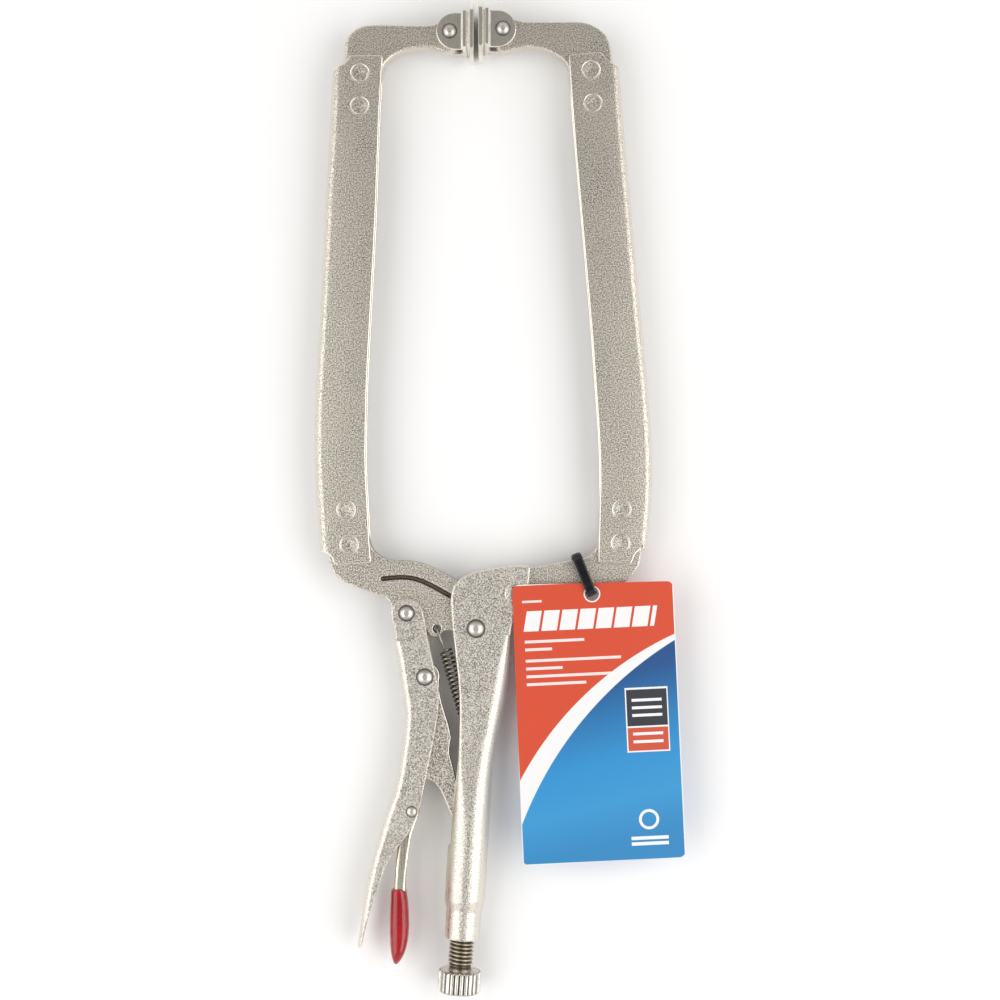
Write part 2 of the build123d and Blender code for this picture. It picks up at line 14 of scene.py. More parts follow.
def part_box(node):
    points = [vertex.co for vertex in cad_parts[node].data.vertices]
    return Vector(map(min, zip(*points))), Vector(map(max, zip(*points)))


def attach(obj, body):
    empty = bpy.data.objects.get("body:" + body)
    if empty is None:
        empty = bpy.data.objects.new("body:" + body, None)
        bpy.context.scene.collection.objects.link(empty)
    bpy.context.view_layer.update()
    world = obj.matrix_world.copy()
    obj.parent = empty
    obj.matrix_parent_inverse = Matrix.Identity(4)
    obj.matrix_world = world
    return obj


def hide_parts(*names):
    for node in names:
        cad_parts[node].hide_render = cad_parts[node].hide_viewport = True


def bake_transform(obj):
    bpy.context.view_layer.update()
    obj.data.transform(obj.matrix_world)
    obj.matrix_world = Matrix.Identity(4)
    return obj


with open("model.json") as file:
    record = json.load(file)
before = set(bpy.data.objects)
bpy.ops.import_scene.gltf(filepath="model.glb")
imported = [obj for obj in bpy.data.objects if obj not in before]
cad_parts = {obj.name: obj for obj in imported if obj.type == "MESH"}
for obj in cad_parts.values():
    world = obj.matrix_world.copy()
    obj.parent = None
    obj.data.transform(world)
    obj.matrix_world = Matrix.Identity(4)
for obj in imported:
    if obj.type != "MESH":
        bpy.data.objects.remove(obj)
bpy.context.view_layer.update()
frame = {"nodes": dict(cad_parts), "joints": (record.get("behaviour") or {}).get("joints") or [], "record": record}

MM = 0.001
WELD = 0.002 * MM                    # points of the CAD meshes nearer than this are one
JOINT = {j["name"]: j for j in frame["joints"]}
BODY = {n: body for body, nodes in frame["record"]["behaviour"]["bodies"].items() for n in nodes}
SCREW_LINE = (Vector(JOINT["screw_turn"]["pos_m"]),          # a point on the axis, and its direction
              Vector(JOINT["screw_turn"]["axis"]).normalized())
MIDDLE = sum(c.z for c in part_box("fixed_arm_channel")) / 2     # height of the tool's middle plane


# ---------------------------------------------------------------- measuring the frame
def points_of(node):
    return [v.co for v in frame["nodes"][node].data.vertices]


def reach(node, direction, start=Vector((0, 0, 0))):
    """How far a node goes along a direction from a start point: (least, most)."""
    along = [(p - start).dot(direction) for p in points_of(node)]
    return min(along), max(along)


# ---------------------------------------------------------------- shader building
class Value:
    """What a socket carries. Arithmetic on it adds Math nodes to its material."""

    def __init__(self, finish, socket):
        self.finish, self.socket = finish, socket

    def math(self, operation, *others, flip=False):
        terms = [self, *others]
        if flip:
            terms.reverse()
        return self.finish.node("ShaderNodeMath", {"operation": operation}, dict(enumerate(terms)))

    def __add__(self, other):
        return self.math("ADD", other)

    def __sub__(self, other):
        return self.math("SUBTRACT", other)

    def __rsub__(self, other):
        return self.math("SUBTRACT", other, flip=True)

    def __mul__(self, other):
        return self.math("MULTIPLY", other)

    def __truediv__(self, other):
        return self.math("DIVIDE", other)

    def __pow__(self, other):
        return self.math("POWER", other)

    def __gt__(self, other):
        return self.math("GREATER_THAN", other)

    def __lt__(self, other):
        return self.math("LESS_THAN", other)

    def __abs__(self):
        return self.math("ABSOLUTE")

    __radd__ = __add__
    __rmul__ = __mul__


class Finish:
    """One material: node() adds any node, and surface() sets the shader's sockets."""

    def __init__(self, name):
        self.material = bpy.data.materials.new(name)
        self.material.use_nodes = True
        self.tree = self.material.node_tree
        self.shader = self.tree.nodes["Principled BSDF"]
        self.where = self.node("ShaderNodeTexCoord", output="Object")

    def node(self, kind, settings=None, inputs=None, output=0):
        made = self.tree.nodes.new(kind)
        for key, value in (settings or {}).items():
            if key == "stops":
                self.set_stops(made.color_ramp, value)
            else:
                setattr(made, key, value)
        self.feed(made, inputs or {})
        return Value(self, made.outputs[output])

    def set_stops(self, ramp, stops):
        while len(ramp.elements) < len(stops):
            ramp.elements.new(0.5)
        for element, (place, level) in zip(ramp.elements, stops):
            element.position = place
            element.color = (*level, 1) if isinstance(level, tuple) else (level, level, level, 1)

    def feed(self, node, inputs):
        for key, value in inputs.items():
            socket = node.inputs[key]
            if isinstance(value, Value):
                self.tree.links.new(value.socket, socket)
            elif isinstance(value, tuple) and socket.type == "RGBA":
                socket.default_value = (*value, 1)
            else:
                socket.default_value = value

    def surface(self, inputs):
        self.feed(self.shader, inputs)
        return self.material

    def noise(self, size, detail=2.0, roughness=0.5, where=None):
        """Cloudy noise from 0 to 1, with patches about `size` metres across."""
        return self.node("ShaderNodeTexNoise", {"noise_dimensions": "3D"},
                         {"Vector": where or self.where, "Scale": 1 / size, "Detail": detail,
                          "Roughness": roughness})

    def ramp(self, value, *stops):
        return self.node("ShaderNodeValToRGB", {"stops": stops}, {"Fac": value})

    def stretch(self, value, low, high):
        """0 below low, 1 above high, and even in between."""
        return self.node("ShaderNodeMapRange", {"clamp": True}, {"Value": value, 1: low, 2: high})

    def mix(self, share, first, second):
        return self.node("ShaderNodeMix", {"data_type": "RGBA"}, {0: share, 6: first, 7: second},
                         output=2)

    def coordinates(self):
        split = self.node("ShaderNodeSeparateXYZ", inputs={"Vector": self.where})
        return [Value(self, split.socket.node.outputs[k]) for k in range(3)]

    def tilt_mask(self, steep, flat):
        """1 where the surface leans well away from level, as on broken edges, down to 0; the finishes use it for
        painted highlights on edges and painted shade round rivet rims.
        """
        normal = self.node("ShaderNodeTexCoord", output="Normal")
        split = self.node("ShaderNodeSeparateXYZ", inputs={"Vector": normal}, output="Z")
        return 1.0 - self.stretch(abs(split), steep, flat)

    def from_axis(self, start, axis):
        """Distance out from a line."""
        away = self.node("ShaderNodeVectorMath", {"operation": "SUBTRACT"},
                         {0: self.where, 1: tuple(start)})
        turned = self.node("ShaderNodeVectorMath", {"operation": "CROSS_PRODUCT"},
                           {0: away, 1: tuple(axis)})
        return self.node("ShaderNodeVectorMath", {"operation": "LENGTH"}, {0: turned}, output="Value")

    def bump(self, height, strength, depth, under=None):
        inputs = {"Height": height, "Strength": strength, "Distance": depth}
        if under:
            inputs["Normal"] = under
        return self.node("ShaderNodeBump", inputs=inputs)


class Room(Finish):
    """The surroundings, built with the same node() as a finish."""

    def __init__(self, name):
        self.world = bpy.data.worlds.new(name)
        self.world.use_nodes = True
        self.tree = self.world.node_tree
        self.shader = self.tree.nodes["Background"]
        self.where = self.node("ShaderNodeTexCoord", output="Generated")


# ---------------------------------------------------------------- finishes
def blasted_nickel(name="blasted_nickel", worn=0.0, recess_shade=0.0):
    """Nickel plate over shot-blasted steel: a fine sparkling grain, a highlight painted along its edges, which are
    also worn smoother, painted shade towards the jaws, and, where asked, painted shade down in recesses.
    """
    f = Finish(name)
    _, along, height = f.coordinates()
    fine = f.noise(0.30 * MM, detail=1)
    coarse = f.noise(0.60 * MM, detail=1)
    cloud = f.noise(26 * MM, detail=3, roughness=0.6)
    smear = f.noise(7 * MM, detail=4, roughness=0.7)
    edge = f.tilt_mask(0.62, 0.95)
    shot = fine * 0.40 + coarse * 0.60
    speck = f.stretch(shot, 0.425, 0.565)
    tone = f.mix(speck, (0.23, 0.20, 0.155), (0.98, 0.93, 0.84))
    patch = f.stretch(cloud * 0.65 + smear * 0.35, 0.36, 0.64)
    tone = f.mix(patch * 0.22, tone, (0.62, 0.57, 0.485))
    # painted shade: darker and browner towards the jaws, along +Y
    shade_toward_jaws = f.stretch(along, -0.05, 0.24)
    tone = f.mix(shade_toward_jaws * 0.3, tone, (0.50, 0.46, 0.385))
    tone = f.mix(worn, tone, (0.93, 0.90, 0.835))
    # painted highlight: lighter where the surface tilts, along the rounded edges; the same mask also smooths the
    # pits there
    tone = f.mix(edge * 0.8, tone, (0.76, 0.725, 0.65))
    if recess_shade:
        # painted shade: near-black on faces within about 3 mm of the middle plane, in the groove and recesses
        sunk_shade = 1.0 - f.stretch(abs(height - MIDDLE), 2.9 * MM, 3.5 * MM)
        tone = f.mix(sunk_shade * recess_shade, tone, (0.10, 0.09, 0.075))
    pits = f.bump(shot * (1.0 - edge * 0.6), 0.7, 0.16 * MM)
    pits = f.bump(smear, 0.10, 0.25 * MM, under=pits)
    return f.surface({"Base Color": tone, "Metallic": 1.0, "Normal": pits,
                      "Roughness": 0.26 + 0.16 * speck + 0.06 * patch})


def burnished_nickel():
    """The same plate where folding and tumbling have worn it smooth and bright."""
    f = Finish("burnished_nickel")
    fine = f.noise(0.45 * MM, detail=2)
    rub = f.noise(5 * MM, detail=4, roughness=0.7)
    patch = f.stretch(rub, 0.38, 0.66)
    speck = f.stretch(fine, 0.35, 0.65)
    tone = f.mix(speck * 0.35, (0.93, 0.895, 0.82), (0.74, 0.70, 0.62))
    tone = f.mix(patch * 0.25, tone, (0.74, 0.71, 0.64))
    return f.surface({"Base Color": tone, "Metallic": 1.0, "Roughness": 0.24 + 0.12 * patch,
                      "Normal": f.bump(fine, 0.25, 0.05 * MM)})


def smooth_nickel():
    """Nickel on rolled strip: fine draw lines and hardly any grain."""
    f = Finish("smooth_nickel")
    lines = f.node("ShaderNodeMapping", inputs={"Vector": f.where, "Scale": (1.0, 0.06, 1.0)})
    drawn = f.noise(0.35 * MM, detail=3, where=lines)
    rub = f.noise(6 * MM, detail=3, roughness=0.6)
    tone = f.mix(f.stretch(drawn, 0.3, 0.7), (0.70, 0.665, 0.59), (0.86, 0.825, 0.75))
    tone = f.mix(f.stretch(rub, 0.4, 0.7) * 0.4, tone, (0.62, 0.57, 0.48))
    # painted highlight: lighter where the surface tilts, along the rounded edges
    tone = f.mix(f.tilt_mask(0.6, 0.95) * 0.6, tone, (0.93, 0.90, 0.82))
    return f.surface({"Base Color": tone, "Metallic": 1.0, "Roughness": 0.22 + 0.14 * rub,
                      "Normal": f.bump(drawn, 0.2, 0.04 * MM)})


def yellowed_nickel():
    """Nickel on the small release lever, a little yellow, with a streak worn down it."""
    f = Finish("yellowed_nickel")
    lines = f.node("ShaderNodeMapping", inputs={"Vector": f.where, "Scale": (1.0, 0.05, 1.0)})
    streak = f.noise(1.1 * MM, detail=3, where=lines)
    fine = f.noise(0.5 * MM, detail=2)
    tone = f.mix(f.stretch(streak, 0.36, 0.62), (0.62, 0.565, 0.43), (0.97, 0.925, 0.80))
    return f.surface({"Base Color": tone, "Metallic": 1.0, "Roughness": 0.2 + 0.12 * fine,
                      "Normal": f.bump(fine, 0.25, 0.05 * MM)})


def bright_rivet():
    """Polished nickel heads with hair scratches, and a dark ring of painted shade and painted reflection round the
    rim of each dome.
    """
    f = Finish("bright_rivet")
    hair = f.noise(0.22 * MM, detail=4, roughness=0.7)
    dull = f.noise(1.6 * MM, detail=3)
    tone = f.mix(f.stretch(dull, 0.35, 0.7), (0.90, 0.87, 0.81), (0.70, 0.66, 0.58))
    # painted shade and painted dark reflection: near-black where the dome's rim tilts steeply
    tone = f.mix(f.tilt_mask(0.78, 0.965) * 0.92, tone, (0.08, 0.07, 0.058))
    return f.surface({"Base Color": tone, "Metallic": 1.0, "Roughness": 0.28 + 0.16 * dull,
                      "Normal": f.bump(hair, 0.25, 0.04 * MM)})


def spring_steel():
    f = Finish("spring_steel")
    draw = f.noise(0.3 * MM, detail=3)
    stain = f.noise(3 * MM, detail=3)
    tone = f.mix(f.stretch(stain, 0.35, 0.65), (0.42, 0.40, 0.36), (0.25, 0.22, 0.18))
    return f.surface({"Base Color": tone, "Metallic": 1.0, "Roughness": 0.26 + 0.12 * draw,
                      "Normal": f.bump(draw, 0.15, 0.02 * MM)})


def hardened_steel():
    f = Finish("hardened_steel")
    turned = f.noise(0.3 * MM, detail=3)
    stain = f.noise(2.5 * MM, detail=3)
    tone = f.mix(f.stretch(stain, 0.35, 0.65), (0.30, 0.29, 0.28), (0.18, 0.17, 0.17))
    return f.surface({"Base Color": tone, "Metallic": 1.0, "Roughness": 0.34 + 0.12 * turned,
                      "Normal": f.bump(turned, 0.2, 0.03 * MM)})


def screw_plating():
    """Yellowed zinc on the rolled thread, darker down in its roots."""
    f = Finish("screw_plating")
    fine = f.noise(0.4 * MM, detail=3)
    stain = f.noise(2.6 * MM, detail=3, roughness=0.6)
    tone = f.mix(f.stretch(stain, 0.36, 0.66), (0.70, 0.64, 0.52), (0.50, 0.43, 0.32))
    crest = f.stretch(f.from_axis(*SCREW_LINE), 4.95 * MM, 5.6 * MM)
    tone = f.mix(crest, (0.09, 0.075, 0.055), tone)
    return f.surface({"Base Color": tone, "Metallic": 1.0, "Roughness": 0.26 + 0.14 * fine,
                      "Normal": f.bump(fine, 0.2, 0.04 * MM)})


def bright_plating():
    f = Finish("bright_plating")
    fine = f.noise(0.35 * MM, detail=3)
    rub = f.noise(3 * MM, detail=3)
    tone = f.mix(f.stretch(rub, 0.38, 0.66), (0.80, 0.78, 0.73), (0.60, 0.57, 0.50))
    out = f.from_axis(*SCREW_LINE)
    off_knurl_floor = f.stretch(out, 9.05 * MM, 9.6 * MM) * (out > 9.0 * MM) + (out < 9.0 * MM)
    tone = f.mix(off_knurl_floor, (0.22, 0.20, 0.17), tone)        # darker in the bottoms of the knurl
    return f.surface({"Base Color": tone, "Metallic": 1.0, "Roughness": 0.2 + 0.14 * rub,
                      "Normal": f.bump(fine, 0.2, 0.04 * MM)})


def red_vinyl():
    """Dipped vinyl: glossy, thick, with slow ripples and a few dull scuffs."""
    f = Finish("red_vinyl")
    ripple = f.noise(4 * MM, detail=1)
    scuff = f.noise(0.8 * MM, detail=4, roughness=0.7)
    worn = f.stretch(scuff, 0.56, 0.72)
    tone = f.mix(f.stretch(ripple, 0.3, 0.7), (0.30, 0.004, 0.008), (0.42, 0.007, 0.013))
    tone = f.mix(worn * 0.25, tone, (0.60, 0.05, 0.06))
    return f.surface({"Base Color": tone, "Roughness": 0.12 + 0.25 * worn, "Coat Weight": 0.5,
                      "Coat Roughness": 0.08, "IOR": 1.5, "Normal": f.bump(ripple, 0.35, 0.3 * MM)})


def black_nylon():
    """Moulded nylon: satin black with a fine spark-eroded texture."""
    f = Finish("black_nylon")
    fine = f.noise(0.25 * MM, detail=3)
    slow = f.noise(3 * MM, detail=2)
    tone = f.mix(f.stretch(slow, 0.35, 0.65), (0.006, 0.006, 0.007), (0.014, 0.014, 0.015))
    return f.surface({"Base Color": tone, "Roughness": 0.22 + 0.12 * slow, "IOR": 1.53,
                      "Normal": f.bump(fine, 0.15, 0.03 * MM)})


class Card:
    """The hang tag's own axes: its punched hole, and the directions across and down it."""
    hole = Vector(JOINT["tag_swing"]["pos_m"])
    lean = radians(2.7)
    across = Vector((cos(lean), sin(lean), 0))
    down = Vector((sin(lean), -cos(lean), 0))
    left, right = reach("hang_tag", across, hole)
    top, bottom = reach("hang_tag", down, hole)


def printed_card():
    """Coated card: orange-red over blue, a white sweep between them, and blank label blocks."""
    f = Finish("printed_card")
    from_hole = f.node("ShaderNodeVectorMath", {"operation": "SUBTRACT"},
                       {0: f.where, 1: tuple(Card.hole)})

    def along(direction):
        return f.node("ShaderNodeVectorMath", {"operation": "DOT_PRODUCT"},
                      {0: from_hole, 1: tuple(direction)}, output="Value")

    u, v = along(Card.across), along(Card.down)
    x = (u - Card.left) / (Card.right - Card.left)
    y = (v - Card.top) / (Card.bottom - Card.top)

    def block(x0, x1, y0, y1):
        """1 inside a rectangle given in shares of the card's width and height."""
        return (x > x0) * (x < x1) * (y > y0) * (y < y1)

    # the sweep lies between two circles whose middles are below and right of the card
    def outside(cx, cy, radius):
        dx, dy = u - (Card.left + cx), v - (Card.top + cy)
        return f.stretch((dx * dx + dy * dy) ** 0.5, radius - 0.0001, radius + 0.0001)

    fibre = f.noise(0.35 * MM, detail=3)
    ink = f.noise(1.1 * MM, detail=2)
    slow = f.noise(30 * MM, detail=2)
    red = f.mix(ink * 0.5, (0.64, 0.070, 0.026), (0.68, 0.085, 0.036))
    blue = f.ramp(y + 0.12 * x, (0.18, (0.010, 0.045, 0.16)), (0.42, (0.012, 0.085, 0.27)),
                  (0.70, (0.025, 0.27, 0.60)), (0.86, (0.04, 0.30, 0.62)), (1.0, (0.03, 0.24, 0.52)))
    white = (0.86, 0.86, 0.87)
    print_ = f.mix(outside(0.1558, 0.1766, 0.1692), blue, white)
    print_ = f.mix(outside(0.1308, 0.1654, 0.1508), print_, red)
    rules = block(0.07, 0.19, 0.058, 0.066)
    for x1, y0 in ((0.44, 0.200), (0.24, 0.228), (0.66, 0.268), (0.30, 0.296), (0.60, 0.324),
                   (0.44, 0.352)):
        rules = rules + block(0.075, x1, y0, y0 + 0.010)
    slant = x + y * 0.35
    title = (slant > 0.13) * (slant < 0.93) * (y > 0.096) * (y < 0.168)
    stripes = title * ((slant * 9.0).math("FRACT") > 0.14)
    print_ = f.mix(rules * 0.86, print_, white)
    print_ = f.mix(stripes, print_, white)
    print_ = f.mix(block(0.672, 0.935, 0.385, 0.615), print_, white)
    print_ = f.mix(block(0.680, 0.928, 0.392, 0.522), print_, (0.035, 0.037, 0.05))
    print_ = f.mix(block(0.680, 0.928, 0.528, 0.610), print_, (0.60, 0.09, 0.045))
    for level in (0.425, 0.452, 0.479, 0.545, 0.573):
        print_ = f.mix(block(0.712, 0.896, level, level + 0.010), print_, white)
    for y0 in (0.915, 0.935):
        print_ = f.mix(block(0.672, 0.90, y0, y0 + 0.012), print_, white)
    badge = ((x - 0.785) * (x - 0.785) * 0.339 + (y - 0.855) * (y - 0.855)) ** 0.5
    print_ = f.mix((badge > 0.026) * (badge < 0.036), print_, white)
    ring = f.node("ShaderNodeVectorMath", {"operation": "LENGTH"}, {0: from_hole}, output="Value")
    print_ = f.mix(f.stretch(0.0038 - ring, -0.00005, 0.00005), print_, white)
    near_edge = (x < 0.006) + (x > 0.994) + (y < 0.004) + (y > 0.996)
    print_ = f.mix(near_edge.math("MINIMUM", 1.0), print_, white)
    weave = f.bump(fibre, 0.12, 0.03 * MM)
    return f.surface({"Base Color": print_, "Roughness": 0.34 + 0.10 * slow, "Coat Weight": 0.15,
                      "Coat Roughness": 0.3, "Normal": f.bump(slow, 0.2, 0.6 * MM, under=weave)})


FINISHES = {
    "blasted_nickel": blasted_nickel, "smooth_nickel": smooth_nickel, "bright_rivet": bright_rivet,
    "spring_steel": spring_steel, "hardened_steel": hardened_steel, "screw_plating": screw_plating,
    "bright_plating": bright_plating, "red_vinyl": red_vinyl, "black_nylon": black_nylon,
    "printed_card": printed_card,
}
material = {slot: make() for slot, make in FINISHES.items()}
material["burnished_nickel"] = burnished_nickel()
material["worn_nickel"] = blasted_nickel("worn_nickel", worn=0.28)
material["recess_shaded_nickel"] = blasted_nickel("recess_shaded_nickel", recess_shade=0.85)
material["yellowed_nickel"] = yellowed_nickel()


# ---------------------------------------------------------------- mesh building
def piece(name, mesh, node, slot, finishes=(), replaced=None):
    """Put a mesh in the scene as a piece that rides where its CAD node rides."""
    made = bpy.data.objects.new(name, mesh)
    bpy.context.scene.collection.objects.link(made)
    mesh.materials.clear()
    for finish in finishes or (slot,):
        mesh.materials.append(material[finish])
    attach(made, BODY[node])
    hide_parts(*(replaced or (node,)))
    return made


def to_mesh(work, name, sharp=40):
    """Finish a bmesh: one mesh, smooth but for edges sharper than `sharp` degrees."""
    bmesh.ops.recalc_face_normals(work, faces=work.faces)
    mesh = bpy.data.meshes.new(name)
    work.to_mesh(mesh)
    work.free()
    mesh.polygons.foreach_set("use_smooth", [True] * len(mesh.polygons))
    mesh.set_sharp_from_angle(angle=radians(sharp))
    return mesh


def welded(node):
    """A node's mesh as one skin, its flat faces whole again."""
    work = bmesh.new()
    work.from_mesh(frame["nodes"][node].data)
    bmesh.ops.remove_doubles(work, verts=work.verts, dist=WELD)
    bmesh.ops.dissolve_limit(work, angle_limit=radians(0.6), verts=work.verts, edges=work.edges)
    return work


def eased(node, slot, width, finishes=None, segments=3, name=None):
    """A CAD node with its edges broken by `width`, those edges in the last finish."""
    finishes = finishes or (slot,)
    made = piece(name or node + "_eased", to_mesh(welded(node), node, 32), node, slot, finishes)
    ease = made.modifiers.new("eased_edges", "BEVEL")
    ease.width = width
    ease.segments = segments
    ease.limit_method = "ANGLE"
    ease.angle_limit = radians(32)
    ease.use_clamp_overlap = False
    ease.harden_normals = True
    ease.miter_outer = "MITER_ARC"
    if len(finishes) > 1:
        ease.material = len(finishes) - 1
    return made


def moulded(node, slot, voxel, passes, finishes=None):
    """A CAD node remade as one fine even skin and relaxed, as a pressing or forging is."""
    made = piece(node + "_pressed", to_mesh(welded(node), node), node, slot, finishes)
    remesh = made.modifiers.new("skin", "REMESH")
    remesh.mode = "VOXEL"
    remesh.voxel_size = voxel
    remesh.use_smooth_shade = True
    relax = made.modifiers.new("relax", "SMOOTH")
    relax.factor = 0.5
    relax.iterations = passes
    return made


def lathe(profile, steps):
    """A bmesh turned about +Z: profile is (radius, height) from bottom to top."""
    work = bmesh.new()
    rings = []
    for radius, height in profile:
        if radius < 1e-7:
            rings.append([work.verts.new((0, 0, height))])
        else:
            rings.append([work.verts.new((radius * cos(2 * pi * k / steps),
                                          radius * sin(2 * pi * k / steps), height))
                          for k in range(steps)])
    skin(work, rings)
    return work


def skin(work, rings):
    """Join rings of points with faces; a ring of one point closes the shape."""
    for low, high in zip(rings, rings[1:]):
        count = max(len(low), len(high))
        for k in range(count):
            m = (k + 1) % count
            corners = [low[k % len(low)], low[m % len(low)], high[m % len(high)], high[k % len(high)]]
            corners = list(dict.fromkeys(corners))
            if len(corners) > 2:
                work.faces.new(corners)
    for ring in (rings[0], rings[-1]):
        if len(ring) > 2:
            work.faces.new(ring)


# ---------------------------------------------------------------- the tool's own pieces
STEEL = ("blasted_nickel", "burnished_nickel")


def arms_and_jaws():
    for node in ("fixed_arm_channel", "movable_arm_channel"):
        eased(node, "blasted_nickel", 0.6 * MM, STEEL)
    for node in ("fixed_jaw_tip", "movable_jaw_tip", "fixed_jaw_base"):
        moulded(node, "blasted_nickel", 0.45 * MM, 7)
    moulded("movable_jaw_base", "blasted_nickel", 0.40 * MM, 5, ("recess_shaded_nickel",))
    for node in ("fixed_arm_rivets", "movable_arm_rivets", "fixed_jaw_rivet"):
        eased(node, "blasted_nickel", 0.32 * MM, STEEL)


def handles():
    moulded("fixed_handle", "blasted_nickel", 0.45 * MM, 10, ("worn_nickel",))
    moulded("lever_handle", "blasted_nickel", 0.40 * MM, 4, ("worn_nickel",))
    eased("toggle_link", "blasted_nickel", 0.5 * MM, STEEL)
    moulded("release_lever", "smooth_nickel", 0.35 * MM, 60, ("yellowed_nickel",))


def rivets():
    for node in ("jaw_pivot_rivet", "handle_pivot_rivet", "link_rivet", "release_lever_rivet",
                 "fixed_pad_rivet", "movable_pad_rivet"):
        eased(node, "bright_rivet", 0.12 * MM)


def pads():
    for node in ("fixed_pad_bracket", "movable_pad_bracket", "fixed_pad_face", "movable_pad_face"):
        moulded(node, "smooth_nickel", 0.25 * MM, 7)


def screw_place():
    """Where the adjusting screw lies: its axis, and a matrix that takes +Z onto it."""
    start, axis = SCREW_LINE
    return start, axis, Matrix.Translation(start) @ axis.to_track_quat("Z", "Y").to_matrix().to_4x4()


def adjusting_screw(steps=40, slices=10):
    """Rolled thread, 14 to the inch, with a plain neck under the knob."""
    start, axis, matrix = screw_place()
    low, high = reach("adjusting_screw", axis, start)
    radius, depth, pitch, neck = 5.75 * MM, 0.95 * MM, 25.4 / 14 * MM, 1.6 * MM
    work = bmesh.new()
    rings = []
    count = int((high - neck - low) / pitch * slices)
    for k in range(count + 1):
        height = low + (high - neck - low) * k / count
        fade = min(1.0, k / slices, (count - k) / slices)
        ring = []
        for n in range(steps):
            turn = (height / pitch + n / steps) % 1.0
            flank = min(1.0, max(0.0, (abs(2 * turn - 1) - 0.14) / 0.72))
            r = radius - depth * (flank * fade + 1 - fade)
            ring.append(work.verts.new((r * cos(2 * pi * n / steps), r * sin(2 * pi * n / steps), height)))
        rings.append(ring)
    for height in (high - 0.3 * MM, high):
        r = radius - 0.45 * MM
        rings.append([work.verts.new((r * cos(2 * pi * n / steps), r * sin(2 * pi * n / steps), height))
                      for n in range(steps)])
    skin(work, rings)
    work.transform(matrix)
    piece("screw_thread", to_mesh(work, "screw_thread", 60), "adjusting_screw", "screw_plating")


def screw_tip():
    start, axis, matrix = screw_place()
    low, high = reach("screw_tip", axis, start)
    r = 4.6 * MM
    work = lathe([(0, low + 0.4 * MM), (1.2 * MM, low + 0.1 * MM), (r - 0.9 * MM, low),
                  (r - 0.2 * MM, low + 0.3 * MM), (r, low + 0.9 * MM), (r, high - 0.3 * MM),
                  (r - 0.3 * MM, high), (0, high)], 32)
    work.transform(matrix)
    piece("screw_tip_turned", to_mesh(work, "screw_tip"), "screw_tip", "hardened_steel")


def knurled_knob(flutes=26, samples=8):
    """Straight-knurled head with bevelled ends and a dished face."""
    start, axis, matrix = screw_place()
    low, high = reach("screw_knob", axis, start)
    radius, depth, bevel = 9.85 * MM, 0.85 * MM, 0.8 * MM
    steps = flutes * samples
    work = bmesh.new()
    rings = []
    for shrink, height, cut in ((3.2 * MM, low, 0), (bevel, low, 0.2), (0.25 * MM, low + 0.45 * bevel, 0.8),
                                (0, low + bevel, 1), (0, low + 1.6 * bevel, 1), (0, high - 1.6 * bevel, 1),
                                (0, high - bevel, 1), (0.25 * MM, high - 0.45 * bevel, 0.8),
                                (bevel, high, 0.2), (4.4 * MM, high, 0), (4.9 * MM, high - 0.5 * MM, 0)):
        ring = []
        for n in range(steps):
            share = (n % samples) / samples
            groove = max(0.0, 1 - abs(2 * share - 1) / 0.55) ** 0.75
            r = radius - shrink - depth * cut * groove
            ring.append(work.verts.new((r * cos(2 * pi * n / steps), r * sin(2 * pi * n / steps), height)))
        rings.append(ring)
    skin(work, rings)
    work.transform(matrix)
    piece("knurled_knob", to_mesh(work, "knurled_knob", 28), "screw_knob", "bright_plating")


def smooth_path(points, steps):
    """Points along a Catmull-Rom curve through the given ones."""
    ends = [2 * points[0] - points[1], *points, 2 * points[-1] - points[-2]]
    path = []
    for a, b, c, d in zip(ends, ends[1:], ends[2:], ends[3:]):
        for k in range(steps):
            t = k / steps
            path.append(0.5 * (2 * b + (c - a) * t + (2 * a - 5 * b + 4 * c - d) * t * t
                               + (3 * b - a - 3 * c + d) * t ** 3))
    return path + [points[-1]]


def wire_mesh(path, radius, name, sides=10):
    """Round wire along a path, its ends closed."""
    work = bmesh.new()
    rings = []
    side = (path[1] - path[0]).orthogonal().normalized()
    for k, here in enumerate(path):
        run = (path[min(k + 1, len(path) - 1)] - path[max(k - 1, 0)]).normalized()
        side = (side - run * side.dot(run)).normalized()
        other = run.cross(side)
        rings.append([work.verts.new(here + radius * (side * cos(2 * pi * n / sides)
                                                      + other * sin(2 * pi * n / sides)))
                      for n in range(sides)])
    skin(work, rings)
    return to_mesh(work, name, 60)


